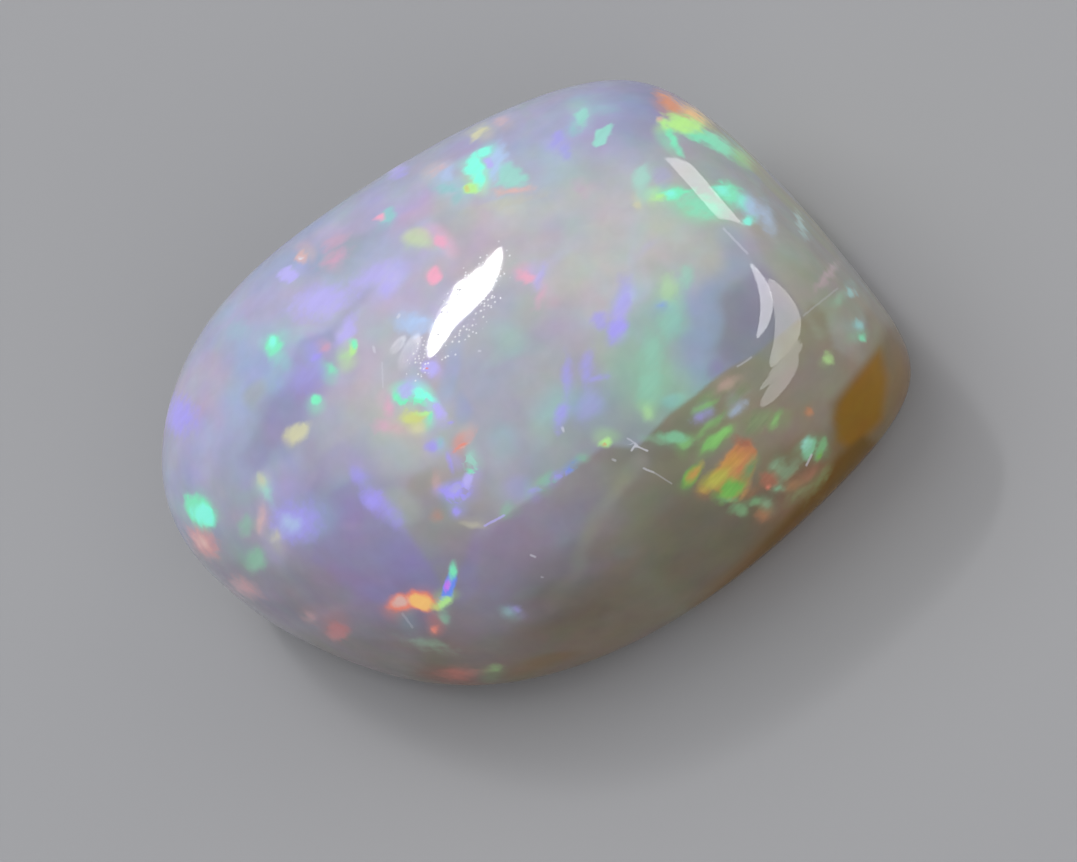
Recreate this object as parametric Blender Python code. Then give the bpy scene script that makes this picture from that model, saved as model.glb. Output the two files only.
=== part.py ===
# Light opal: one polished stone that lies on its flat back.
# It is a smooth dome over an uneven eight-sided plan, with one wall ground flat along its right side.
# The origin is on the back, under the middle of the stone. +X is its length, +Z its thickness.

import math

import bmesh
import bpy
import numpy as np

MM = 0.001

# Every reach below is measured from the core point, which stands this high above the flat back
CORE_HEIGHT = 2.4 * MM

# How far the dome reaches straight up from the core point, and the belly straight down
DOME_RISE = 6.0 * MM
BELLY_DEPTH = 3.5 * MM

# The plan's sides: heading of each in degrees from +X towards +Y, and its reach
PLAN_SIDES = {
    "tip": (2, 11.1 * MM),
    "right": (41, 8.9 * MM),
    "far": (97, 7.7 * MM),
    "far left": (123, 6.8 * MM),
    "left": (174, 9.5 * MM),
    "near left": (-117, 7.8 * MM),
    "diagonal": (-76, 6.7 * MM),
    "near": (-46, 6.8 * MM),
}

# The ground wall: heading and upward lean of its face in degrees, and its reach
WALL_HEADING = 39
WALL_LEAN = 6
WALL_REACH = 7.9 * MM

# Exponents that round the plan's corners, the dome, the belly and the wall's edge: 2 is round, more is squarer
PLAN_EXPONENT = 7
DOME_EXPONENT = 2.6
BELLY_EXPONENT = 3.2
WALL_EXPONENT = 14

# Fineness of the round mesh, and how near the cut a point may lie before it is put on the cut
SUBDIVISIONS = 5
SNAP = 0.05 * MM

# Edges sharper than this stay sharp, which is the rim of the back alone
SHARP_ANGLE = 50

OPAL_COLOUR = (0.46, 0.45, 0.53, 1.0)
OPAL_ROUGHNESS = 0.08


def heading_vector(heading, lean=0.0):
    """Unit vector along a heading, raised by a lean, both in degrees."""
    h = math.radians(heading)
    up = math.radians(lean)
    return np.array((math.cos(h) * math.cos(up), math.sin(h) * math.cos(up), math.sin(up)))


def blend(parts, exponent):
    """Join positive closeness terms: near the larger of them, and rounded where they are alike."""
    return sum(np.maximum(part, 0.0) ** exponent for part in parts) ** (1.0 / exponent)


def surface_reach(directions):
    """Distance from the core point to the skin of the stone, along each unit direction."""
    plan = blend(
        [directions @ heading_vector(heading) / reach for heading, reach in PLAN_SIDES.values()],
        PLAN_EXPONENT,
    )
    dome = blend([plan, directions[:, 2] / DOME_RISE], DOME_EXPONENT)
    belly = blend([plan, -directions[:, 2] / BELLY_DEPTH], BELLY_EXPONENT)
    body = np.where(directions[:, 2] >= 0.0, dome, belly)
    wall = directions @ heading_vector(WALL_HEADING, WALL_LEAN) / WALL_REACH
    return 1.0 / blend([body, wall], WALL_EXPONENT)


def draw_out(bm):
    """Move a unit ball's points out to the skin of the stone, with the back's plane at zero height."""
    bm.verts.ensure_lookup_table()
    directions = np.array([vert.co.normalized()[:] for vert in bm.verts])
    places = directions * surface_reach(directions)[:, None]
    places[:, 2] += CORE_HEIGHT
    places[np.abs(places[:, 2]) < SNAP, 2] = 0.0
    for vert, place in zip(bm.verts, places):
        vert.co = place


def cut_back(bm):
    """Cut off everything under the back's plane and close the stone with one flat face."""
    everything = bm.verts[:] + bm.edges[:] + bm.faces[:]
    bmesh.ops.bisect_plane(
        bm, geom=everything, dist=1e-7, plane_co=(0, 0, 0), plane_no=(0, 0, 1), clear_inner=True
    )
    rim = [edge for edge in bm.edges if edge.is_boundary]
    bmesh.ops.edgeloop_fill(bm, edges=rim)


def centre_plan(bm):
    """Slide the stone so that the middle of its plan lies over the origin."""
    for axis in (0, 1):
        values = [vert.co[axis] for vert in bm.verts]
        middle = (min(values) + max(values)) / 2
        for vert in bm.verts:
            vert.co[axis] -= middle


def opal_material():
    """Pale polished stone."""
    material = bpy.data.materials.new("opal")
    material.use_nodes = True
    shader = material.node_tree.nodes["Principled BSDF"]
    shader.inputs["Base Color"].default_value = OPAL_COLOUR
    shader.inputs["Roughness"].default_value = OPAL_ROUGHNESS
    shader.inputs["Metallic"].default_value = 0.0
    return material


def light_opal(collection):
    """The whole stone, one closed body."""
    bm = bmesh.new()
    bmesh.ops.create_icosphere(bm, subdivisions=SUBDIVISIONS, radius=1.0)
    draw_out(bm)
    cut_back(bm)
    centre_plan(bm)
    bmesh.ops.recalc_face_normals(bm, faces=bm.faces)
    mesh = bpy.data.meshes.new("light_opal")
    bm.to_mesh(mesh)
    bm.free()
    mesh.shade_smooth()
    mesh.set_sharp_from_angle(angle=math.radians(SHARP_ANGLE))
    mesh.materials.append(opal_material())
    stone = bpy.data.objects.new("light_opal", mesh)
    collection.objects.link(stone)
    return stone


def main():
    for old in list(bpy.data.objects):
        bpy.data.objects.remove(old, do_unlink=True)
    collection = bpy.data.collections.new("light opal")
    bpy.context.scene.collection.children.link(collection)
    light_opal(collection)


main()
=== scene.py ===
import math

import bpy
import numpy as np
from bpy.props import FloatProperty, FloatVectorProperty, IntProperty, PointerProperty
from mathutils import Matrix, Vector


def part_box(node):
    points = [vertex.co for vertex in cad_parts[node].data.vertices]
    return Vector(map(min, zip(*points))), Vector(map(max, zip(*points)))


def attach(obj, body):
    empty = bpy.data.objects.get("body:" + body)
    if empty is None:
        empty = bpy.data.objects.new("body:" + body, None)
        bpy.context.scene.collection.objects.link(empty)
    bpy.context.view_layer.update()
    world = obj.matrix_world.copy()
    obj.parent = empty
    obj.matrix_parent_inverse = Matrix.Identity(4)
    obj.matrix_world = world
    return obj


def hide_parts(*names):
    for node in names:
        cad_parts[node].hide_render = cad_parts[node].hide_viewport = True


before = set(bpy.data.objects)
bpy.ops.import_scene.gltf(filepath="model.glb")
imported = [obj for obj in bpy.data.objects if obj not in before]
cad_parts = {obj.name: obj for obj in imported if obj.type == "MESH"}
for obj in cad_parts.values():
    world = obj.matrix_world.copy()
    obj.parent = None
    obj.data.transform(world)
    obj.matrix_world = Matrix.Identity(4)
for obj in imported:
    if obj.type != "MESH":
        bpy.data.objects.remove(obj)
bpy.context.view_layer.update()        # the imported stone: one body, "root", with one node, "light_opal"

bl_info = {
    "name": "Light opal",
    "version": (1, 0, 0),
    "blender": (4, 5, 0),
    "location": "View3D > Sidebar > Opal",
    "description": "Makes a polished light opal with its play of colour, and a plain stage for it",
    "category": "Add Mesh",
}

MM = 0.001
STONE_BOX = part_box("light_opal")

# How the stone is looked at: the middle of the view on the stone, the view's angles in degrees, its
# distance and width, and the camera's sensor in millimetres
VIEW_MIDDLE = (0.37 * MM, -1.38 * MM, 2.96 * MM)
VIEW_AZIMUTH = 45
VIEW_ELEVATION = 55
VIEW_ROLL = -45
VIEW_DISTANCE = 150 * MM
VIEW_WIDTH = 26.17 * MM
SENSOR = 36

# Marks are placed by pixels of the photograph, which the view fills
PHOTO_WIDTH = 1077
PHOTO_HEIGHT = 862
PIXEL = VIEW_WIDTH / PHOTO_WIDTH


class OpalForm(bpy.types.PropertyGroup):
    """Sizes of the stone, measured from its core point."""
    core_height: FloatProperty(
        name="Core height", description="Height of the core point over the flat back",
        default=2.4 * MM, unit="LENGTH")
    dome_rise: FloatProperty(
        name="Dome rise", description="How far the dome reaches up from the core point",
        default=6.0 * MM, unit="LENGTH")
    belly_depth: FloatProperty(
        name="Belly depth", description="How far the belly would reach down from the core point",
        default=3.5 * MM, unit="LENGTH")
    wall_heading: FloatProperty(
        name="Wall heading", description="Way that the ground wall faces, from +X towards +Y",
        default=math.radians(39), subtype="ANGLE")
    wall_lean: FloatProperty(
        name="Wall lean", description="How far the ground wall's face is turned up",
        default=math.radians(6), subtype="ANGLE")
    wall_reach: FloatProperty(
        name="Wall reach", description="Distance of the ground wall from the core point",
        default=7.9 * MM, unit="LENGTH")
    plan_exponent: FloatProperty(
        name="Plan squareness", description="How square the plan's corners are, where 2 is round",
        default=7)
    dome_exponent: FloatProperty(
        name="Dome squareness", description="How full the dome's shoulders are, where 2 is round",
        default=2.6)
    belly_exponent: FloatProperty(
        name="Belly squareness", description="How full the belly is, where 2 is round", default=3.2)
    wall_exponent: FloatProperty(
        name="Wall crispness", description="How tight the bend is where the wall meets the dome",
        default=14)
    headings: IntProperty(
        name="Headings", description="Points round the stone", default=440)
    rings: IntProperty(
        name="Rings", description="Rings of points from the top of the dome down to the rim", default=206)
    back_rings: IntProperty(
        name="Back rings", description="Rings of points across the flat back", default=12)


class OpalFinish(bpy.types.PropertyGroup):
    """Colours and polish of the stone."""
    milk: FloatVectorProperty(
        name="Milk", description="Tint of the stone's ground, where white leaves it as it is",
        default=(1.0, 1.0, 0.98), size=3, min=0, max=1, subtype="COLOR_GAMMA")
    polish: FloatProperty(
        name="Polish", description="Roughness of the polished skin", default=0.035, min=0, max=1)
    haze_depth: FloatProperty(
        name="Haze depth", description="How far light travels inside the milky stone",
        default=0.7 * MM, unit="LENGTH")
    haze_share: FloatProperty(
        name="Haze share", description="Share of the light that goes into the stone",
        default=0.5, min=0, max=1)
    glow_share: FloatProperty(
        name="Glow share", description="Share of a flash's colour that shines by itself",
        default=0.45, min=0, max=1)


class OpalStage(bpy.types.PropertyGroup):
    """Floor and lights."""
    floor_width: FloatProperty(
        name="Floor width", description="Side of the square floor", default=1.6, unit="LENGTH")
    floor_colour: FloatVectorProperty(
        name="Floor colour", description="Plain pale floor",
        default=(0.66, 0.66, 0.67), size=3, min=0, max=1, subtype="COLOR_GAMMA")
    air: FloatProperty(
        name="Air", description="Strength of the even light from all round", default=0.42)


# Colours as they are seen in the stage's light, red, green and blue from 0 to 255.
# The ground of the stone: milky above the seam, clearer and darker below it
# Towards the lower right and the bottom edge the ground colours are darker partly as painted shade.
GROUND_COLOURS = {
    "lilac milk": (176, 172, 200), "rose milk": (186, 170, 192), "blue milk": (156, 171, 208),
    "haze": (166, 169, 200), "dove": (180, 178, 185), "pearl": (184, 184, 187), "fog": (165, 166, 180),
    "teal fog": (150, 159, 168), "sage milk": (164, 174, 170), "dusk": (148, 146, 184),
    "purple dusk": (145, 135, 179), "mauve": (149, 140, 163), "slate": (141, 135, 151),
    "ash": (150, 148, 150), "warm ash": (152, 145, 138), "steel": (148, 161, 193), "lead": (138, 137, 154),
    "moss": (128, 129, 110), "olive": (117, 112, 95), "umber": (108, 98, 84), "tan": (146, 139, 124),
    "rust": (128, 104, 82), "sage ash": (160, 161, 147), "loam": (126, 114, 102), "brick": (134, 90, 84),
    "honey": (138, 98, 12), "dark honey": (106, 75, 14), "pale honey": (120, 98, 66),
    "sage": (151, 184, 167), "veil": (152, 152, 142), "glaze": (172, 168, 118),
}
# The play of colour
FLASH_COLOURS = {
    "aqua": (138, 252, 228), "mint": (130, 238, 192), "pale mint": (160, 226, 206), "lime": (186, 240, 150),
    "leaf": (132, 198, 110), "jade": (132, 198, 158), "teal": (146, 205, 205), "sky": (180, 206, 242),
    "blue": (112, 146, 250), "violet": (168, 158, 244), "pale violet": (188, 180, 244),
    "magenta": (204, 130, 250), "pink": (242, 172, 196), "rose": (214, 166, 190), "peach": (226, 184, 174),
    "coral": (238, 140, 118), "orange": (226, 146, 96), "gold": (252, 198, 120), "cream": (213, 211, 170),
    "lemon": (208, 216, 130), "red": (200, 98, 84), "white": (226, 226, 236), "dull red": (178, 116, 118),
    "russet": (166, 106, 84), "ember": (200, 128, 82), "amber": (206, 152, 84), "old gold": (180, 176, 82),
    "fern": (116, 178, 84), "moss green": (122, 148, 100), "bottle": (120, 182, 128),
    "ice": (154, 222, 206), "bright lime": (190, 246, 142), "lime leaf": (136, 202, 112),
}


class Signal:
    """A socket with arithmetic: each expression adds its Math node to the material."""

    def __init__(self, net, socket):
        self.net = net
        self.socket = socket

    def join(self, operation, *others):
        return self.net.math(operation, self, *others)

    def __add__(self, other):
        return self.join("ADD", other)

    __radd__ = __add__

    def __sub__(self, other):
        return self.join("SUBTRACT", other)

    def __rsub__(self, other):
        return self.net.math("SUBTRACT", other, self)

    def __mul__(self, other):
        return self.join("MULTIPLY", other)

    __rmul__ = __mul__


class Net:
    """The node tree of one material, with one method that makes any node."""

    def __init__(self, name):
        self.material = bpy.data.materials.new(name)
        self.material.use_nodes = True
        self.tree = self.material.node_tree
        self.shader = self.tree.nodes["Principled BSDF"]

    def node(self, kind, settings=None, inputs=None):
        """Make a node, set it, then fill or link its sockets, by name or by number."""
        made = self.tree.nodes.new(kind)
        for key, value in (settings or {}).items():
            setattr(made, key, value)
        for key, value in (inputs or {}).items():
            self.feed(made.inputs[key], value)
        return made

    def feed(self, socket, value):
        if isinstance(value, Signal):
            self.tree.links.new(value.socket, socket)
        elif value is not None:
            socket.default_value = value

    def out(self, node, name=0):
        return Signal(self, node.outputs[name])

    def math(self, operation, *values):
        return self.out(self.node("ShaderNodeMath", {"operation": operation}, dict(enumerate(values))))

    def vector(self, operation, *values):
        made = self.node("ShaderNodeVectorMath", {"operation": operation}, dict(enumerate(values)))
        return self.out(made)

    def scaled(self, colour, amount):
        """A colour or a vector times a number."""
        made = self.node("ShaderNodeVectorMath", {"operation": "SCALE"}, {0: colour, "Scale": amount})
        return self.out(made)

    def mix(self, share, first, second, how="MIX"):
        """Colours mixed by a share from 0 to 1."""
        settings = {"data_type": "RGBA", "blend_type": how, "clamp_factor": True}
        return self.out(self.node("ShaderNodeMix", settings, {"Factor": share, 6: first, 7: second}), 2)

    def ease(self, value, low, high):
        """0 below low, 1 above high, smooth between."""
        settings = {"interpolation_type": "SMOOTHSTEP"}
        names = {"Value": value, "From Min": low, "From Max": high}
        return self.out(self.node("ShaderNodeMapRange", settings, names))

    def attribute(self, name, output="Color"):
        return self.out(self.node("ShaderNodeAttribute", {"attribute_name": name}), output)

    def noise(self, place, steps, detail=2.0, warp=0.0, output=0):
        """Noise from 0 to 1, or a colour of it from output 1."""
        names = {"Vector": place, "Scale": steps, "Detail": detail, "Distortion": warp}
        return self.out(self.node("ShaderNodeTexNoise", {"noise_dimensions": "3D"}, names), output)

    def cells(self, place, steps):
        """Cells: the distance from each cell's middle, and a number from 0 to 1 for each cell."""
        made = self.node("ShaderNodeTexVoronoi", {"feature": "F1"}, {"Vector": place, "Scale": steps})
        return self.out(made, "Distance"), self.parts(self.out(made, "Color"))[0]

    def parts(self, colour):
        """The red, green and blue of a colour."""
        made = self.node("ShaderNodeSeparateColor", None, {0: colour})
        return [self.out(made, index) for index in range(3)]

    def along(self, place, way):
        """How far a place lies along a way."""
        made = self.node("ShaderNodeVectorMath", {"operation": "DOT_PRODUCT"}, {0: place, 1: way})
        return self.out(made, "Value")

    def drive(self, name, value):
        """Link or set one socket of the shader."""
        self.feed(self.shader.inputs[name], value)


def linear(colour):
    """A colour as seen, turned to light: a straight part near black, then the power 2.4."""
    seen = np.asarray(colour, float)
    return np.where(seen <= 0.04045, seen / 12.92, ((seen + 0.055) / 1.055) ** 2.4)


def heading_vector(heading, lean=0.0):
    """Unit vector along a heading, raised by a lean."""
    flat = math.cos(lean)
    return np.array((math.cos(heading) * flat, math.sin(heading) * flat, math.sin(lean)))


def blend(parts, exponent):
    """Join closeness terms: the power mean without its divisor, near the larger of them."""
    return sum(np.maximum(part, 0.0) ** exponent for part in parts) ** (1.0 / exponent)


# How often the rim's search halves its step, the share of the solid's box that the stone fills, and the
# bend past which an edge is drawn sharp
RIM_HALVINGS = 40
BOX_SHARE = 0.9995
SHARP_EDGE = math.radians(35)

# The plan's sides: heading in degrees from +X towards +Y, and reach from the core point
PLAN_SIDES = {
    "tip": (2, 11.1 * MM),
    "right": (41, 8.9 * MM),
    "far": (97, 7.7 * MM),
    "far left": (123, 6.8 * MM),
    "left": (174, 9.5 * MM),
    "near left": (-117, 7.8 * MM),
    "diagonal": (-76, 6.7 * MM),
    "near": (-46, 6.8 * MM),
}


def surface_reach(form, directions):
    """Distance from the core point to the skin along unit directions.

    The plan is a power sum of the closeness to its sides. The dome, or the belly below the core, joins it
    to the height, and the ground wall is joined last at a high power, so that its edge stays tight.
    """
    sides = [directions @ heading_vector(math.radians(turn)) / reach for turn, reach in PLAN_SIDES.values()]
    plan = blend(sides, form.plan_exponent)
    height = directions[..., 2]
    dome = blend([plan, height / form.dome_rise], form.dome_exponent)
    belly = blend([plan, -height / form.belly_depth], form.belly_exponent)
    body = np.where(height >= 0.0, dome, belly)
    wall = directions @ heading_vector(form.wall_heading, form.wall_lean) / form.wall_reach
    return 1.0 / blend([body, wall], form.wall_exponent)


def aim(heading, rise):
    """Unit directions from a heading and an angle over the level."""
    flat = np.cos(rise)
    return np.stack([np.cos(heading) * flat, np.sin(heading) * flat, np.sin(rise)], -1)


def rim_rise(form, heading):
    """The angle under the level at which the skin meets the back, found by halving."""
    low = np.full(heading.shape, -math.pi / 2)
    high = np.zeros(heading.shape)
    for _ in range(RIM_HALVINGS):
        middle = (low + high) / 2
        directions = aim(heading, middle)
        under = surface_reach(form, directions) * directions[..., 2] < -form.core_height
        low = np.where(under, middle, low)
        high = np.where(under, high, middle)
    return (low + high) / 2


def stone_surface(form):
    """Points of the stone on a grid of rings by headings, from the top round the rim to the back's middle.

    On the dome a ring has a fixed share of the angle from straight up to the rim, and each point lies at
    the skin's reach. On the back the rings shrink evenly from the rim to its middle.
    """
    heading = np.linspace(0.0, 2 * math.pi, form.headings, endpoint=False)[None, :]
    share = np.linspace(0.0, 1.0, form.rings)[:, None]
    rise = math.pi / 2 + share * (rim_rise(form, heading) - math.pi / 2)
    directions = aim(np.broadcast_to(heading, rise.shape), rise)
    dome = directions * surface_reach(form, directions)[..., None]
    dome[..., 2] += form.core_height
    dome[-1, :, 2] = 0.0
    shrink = np.linspace(1.0, 0.0, form.back_rings + 1)[1:, None, None]
    middle = dome[-1].mean(0)
    back = middle + (dome[-1][None] - middle) * shrink
    return fit_box(np.concatenate([dome, back]))


def fit_box(points):
    """Stretch the points, by well under one part in a hundred, to fill the solid's box and no more."""
    low, high = (np.array(corner) for corner in STONE_BOX)
    flat = points.reshape(-1, 3)
    mine_low, mine_high = flat.min(0), flat.max(0)
    placed = low + (points - mine_low) / (mine_high - mine_low) * (high - low)
    middle = np.array(((low[0] + high[0]) / 2, (low[1] + high[1]) / 2, low[2]))
    return middle + (placed - middle) * BOX_SHARE


def grid_faces(rings, headings):
    """Corner numbers of the quads between rings, which close round on themselves."""
    index = np.arange(rings * headings).reshape(rings, headings)
    upper = index[1:-2]
    lower = index[2:-1]
    return np.stack([upper, lower, np.roll(lower, -1, 1), np.roll(upper, -1, 1)], -1).reshape(-1, 4)


def closed_mesh(name, grid):
    """A mesh from a grid whose first and last rings are single points, joined there by fans."""
    rings, headings = grid.shape[:2]
    index = np.arange(rings * headings).reshape(rings, headings)
    top = index[0, 0]
    end = index[-1, 0]
    first = index[1]
    last = index[-2]
    fans = [(int(top), int(a), int(b)) for a, b in zip(first, np.roll(first, -1))]
    fans += [(int(end), int(b), int(a)) for a, b in zip(last, np.roll(last, -1))]
    kept = np.concatenate([[top], index[1:-1].ravel(), [end]])
    number = np.full(rings * headings, -1)
    number[kept] = np.arange(len(kept))
    faces = number[grid_faces(rings, headings)].tolist()
    faces += [tuple(int(number[corner]) for corner in face) for face in fans]
    points = grid.reshape(-1, 3)[kept]
    mesh = bpy.data.meshes.new(name)
    mesh.from_pydata(points.tolist(), [], faces)
    mesh.validate()
    mesh.shade_smooth()
    mesh.set_sharp_from_angle(angle=SHARP_EDGE)
    return mesh, points


def view_axes():
    """The view's own axes: to the right, up, and back towards the eye."""
    azimuth, elevation, roll = (math.radians(a) for a in (VIEW_AZIMUTH, VIEW_ELEVATION, VIEW_ROLL))
    back = Vector((math.sin(azimuth) * math.cos(elevation), -math.cos(azimuth) * math.cos(elevation),
                   math.sin(elevation)))
    level = Vector((math.cos(azimuth), math.sin(azimuth), 0.0))
    rise = back.cross(level)
    right = level * math.cos(roll) + rise * math.sin(roll)
    up = rise * math.cos(roll) - level * math.sin(roll)
    return right, up, back


# The seam from the right to the lower left: the stone is milky above it and clearer below it
SEAM = [
    (300, 900), (420, 660), (455, 575), (500, 520), (550, 484), (605, 446), (637, 447), (668, 416),
    (696, 398), (730, 369), (752, 357), (800, 318), (1000, 250),
]
# It is sharp at the right, and softens to the left of a place, over a width
SEAM_SHARP = 8
SEAM_SOFT = 70
SEAM_SOFT_FROM = 510
SEAM_SOFT_WIDTH = 60

# Ground: place of an anchor, how far it spreads, and its colour. Between anchors the colours run together.
# The anchors are lighter at the upper left and darker towards the lower right and the bottom edge, partly
# from the stone's own milk and clearness and partly as painted shade.
MILKY_GROUND = [
    (195, 395, 60, "lilac milk"), (245, 390, 45, "blue milk"), (185, 480, 60, "haze"),
    (320, 215, 70, "haze"), (300, 250, 40, "blue milk"), (440, 140, 60, "haze"), (560, 120, 70, "haze"),
    (640, 105, 50, "dusk"), (330, 320, 55, "lilac milk"), (400, 290, 60, "lilac milk"),
    (450, 230, 50, "rose milk"), (500, 215, 40, "dove"), (570, 260, 70, "dove"), (640, 215, 55, "pearl"),
    (540, 370, 60, "fog"), (475, 380, 45, "fog"), (580, 430, 55, "teal fog"), (500, 460, 45, "fog"),
    (395, 425, 45, "dove"), (275, 430, 45, "dusk"), (320, 500, 55, "dusk"), (395, 545, 55, "purple dusk"),
    (240, 550, 50, "fog"), (290, 600, 50, "slate"), (350, 600, 45, "mauve"), (400, 640, 40, "slate"),
    (435, 500, 35, "warm ash"), (690, 340, 40, "steel"), (745, 330, 35, "lead"), (650, 370, 40, "sage"),
    (700, 200, 45, "sage milk"), (760, 230, 40, "fog"), (810, 270, 45, "ash"), (870, 330, 40, "tan"),
]
CLEAR_GROUND = [
    (490, 560, 50, "mauve"), (560, 520, 45, "mauve"), (600, 490, 40, "ash"), (480, 620, 50, "slate"),
    (560, 640, 60, "umber"), (650, 490, 50, "moss"), (650, 570, 60, "olive"), (720, 570, 60, "umber"),
    (700, 520, 50, "olive"), (730, 420, 50, "tan"), (790, 390, 45, "tan"), (800, 490, 45, "rust"),
    (840, 350, 45, "tan"), (880, 320, 40, "tan"), (450, 690, 40, "umber"), (530, 670, 30, "umber"),
]

# The least sum of their weights, and the strength of the faint skirt round each anchor
LEAST_WEIGHT = 1e-12
SKIRT = 1e-5

# Soft zones over the ground: place, half length, half width, turn, softness, strength, colour
ZONES = [
    (205, 383, 28, 22, 60, 20, 0.5, "rose milk"), (245, 381, 34, 26, 80, 24, 0.6, "blue milk"),
    (255, 400, 16, 9, 90, 10, 0.5, "sage milk"), (285, 415, 62, 17, 50, 16, 0.75, "dusk"),
    (335, 240, 40, 12, 30, 14, 0.4, "rose milk"), (322, 262, 34, 12, 25, 14, 0.5, "steel"),
    (350, 250, 36, 12, 35, 14, 0.4, "teal fog"), (388, 285, 20, 12, 60, 14, 0.5, "pale violet"),
    (415, 218, 26, 11, 20, 14, 0.5, "rose milk"), (417, 243, 14, 9, 5, 8, 0.5, "cream"),
    (448, 262, 22, 14, 50, 14, 0.4, "rose milk"), (460, 225, 22, 13, 10, 12, 0.35, "sage milk"),
    (509, 217, 26, 14, 20, 14, 0.5, "dove"), (453, 371, 34, 11, 75, 12, 0.5, "blue milk"),
    (465, 407, 16, 8, 85, 8, 0.5, "steel"), (590, 409, 18, 16, 0, 14, 0.4, "blue milk"),
    (545, 240, 20, 9, 60, 12, 0.3, "rose milk"), (398, 505, 20, 16, 0, 14, 0.5, "sage milk"),
    (421, 482, 18, 12, 70, 12, 0.5, "warm ash"), (426, 528, 16, 12, 0, 12, 0.5, "ash"),
    (315, 520, 32, 24, 20, 20, 0.5, "steel"), (398, 577, 34, 9, 25, 10, 0.6, "purple dusk"),
    (465, 585, 28, 9, 80, 10, 0.5, "purple dusk"), (381, 628, 40, 12, -12, 12, 0.5, "slate"),
    (741, 318, 42, 15, 74, 18, 0.4, "lead"), (706, 326, 60, 16, 72, 18, 0.7, "steel"),
    (714, 371, 11, 8, 40, 8, 0.5, "purple dusk"), (658, 300, 42, 12, 78, 12, 0.35, "sage"),
    (670, 318, 36, 11, 72, 12, 0.4, "sage"), (651, 365, 40, 14, 85, 12, 0.55, "sage"),
    (652, 400, 18, 10, 90, 8, 0.5, "sage"), (670, 403, 9, 8, 0, 8, 0.5, "teal"),
    (625, 308, 22, 8, 80, 10, 0.5, "pale violet"), (733, 249, 26, 14, -55, 14, 0.4, "steel"),
    (700, 160, 40, 8, -35, 8, 0.5, "fog"), (738, 143, 46, 7, -42, 6, 0.85, "glaze"),
    (800, 212, 44, 6, -50, 8, 0.6, "glaze"), (788, 236, 34, 12, -50, 12, 0.3, "sage milk"),
    (815, 318, 18, 9, -40, 9, 0.35, "rust"), (848, 340, 24, 12, -60, 10, 0.4, "sage milk"),
    (695, 401, 42, 4, 38, 4, 0.7, "tan"), (690, 430, 46, 22, 40, 16, 0.5, "moss"),
    (568, 525, 30, 16, 35, 14, 0.4, "mauve"), (645, 500, 32, 18, 40, 16, 0.5, "moss"),
    (671, 587, 46, 12, 25, 12, 0.4, "olive"), (548, 664, 40, 8, 14, 10, 0.55, "pale honey"),
    (456, 678, 34, 7, 0, 8, 0.6, "brick"),
]

# Facets of the ground with one soft border: corners, softness, strength, colour
GROUND_FACETS = [
    ([(300, 345), (330, 330), (352, 345), (332, 372), (312, 395), (282, 434), (258, 474), (240, 458),
      (262, 420), (288, 380)], 10, 0.55, "dusk"),
    ([(369, 295), (400, 330), (402, 395), (350, 440), (300, 470), (280, 440), (312, 388),
      (340, 350)], 12, 0.35, "dove"),
    ([(367, 284), (373, 290), (352, 320), (330, 336), (325, 330), (347, 306)], 9, 0.3, "dusk"),
    ([(354, 476), (372, 502), (392, 524), (416, 548), (436, 580), (444, 602), (400, 604), (340, 588),
      (310, 560), (318, 520), (335, 492)], 9, 0.55, "purple dusk"),
    ([(470, 218), (520, 202), (600, 186), (640, 166), (685, 212), (690, 250), (600, 300), (520, 288),
      (500, 240)], 18, 0.4, "pearl"),
    ([(664, 420), (700, 392), (733, 366), (756, 356), (766, 366), (740, 388), (702, 414),
      (676, 434)], 6, 0.75, "tan"),
    ([(398, 498), (440, 505), (474, 530), (462, 556), (451, 600), (438, 578), (419, 546),
      (396, 520)], 9, 0.65, "ash"),
    ([(262, 470), (300, 448), (318, 470), (300, 520), (280, 560), (262, 560),
      (258, 520)], 12, 0.4, "lilac milk"),
    ([(755, 262), (772, 268), (790, 330), (775, 358), (752, 352), (725, 362), (712, 340),
      (730, 300)], 16, 0.3, "lead"),
    ([(765, 175), (800, 200), (872, 300), (860, 330), (815, 335), (790, 300), (762, 250),
      (745, 215)], 12, 0.65, "sage ash"),
    # The loam band along the bottom edge is darker partly as painted shade, where the skin turns down away
    # from the light.
    ([(290, 640), (340, 630), (400, 626), (450, 634), (520, 636), (600, 625), (700, 590), (740, 600),
      (640, 660), (520, 700), (400, 700), (300, 670)], 30, 0.6, "loam"),
]

# Potch, the plain brown part at the tip and along the lower right edge: corners, softness, colour
POTCH = [
    ([(905, 320), (930, 400), (880, 460), (800, 540), (720, 610), (690, 606), (740, 560), (774, 522),
      (806, 490), (832, 460), (832, 430), (832, 405), (848, 386), (876, 352),
      (886, 326)], 18, 0.85, "pale honey"),
    ([(880, 348), (887, 378), (882, 420), (852, 452), (838, 440), (834, 418), (838, 402),
      (850, 385)], 13, 1.0, "honey"),
    ([(862, 436), (895, 450), (800, 550), (715, 620), (700, 606), (745, 564), (778, 528), (812, 492),
      (838, 456)], 12, 1.0, "dark honey"),
]

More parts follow.
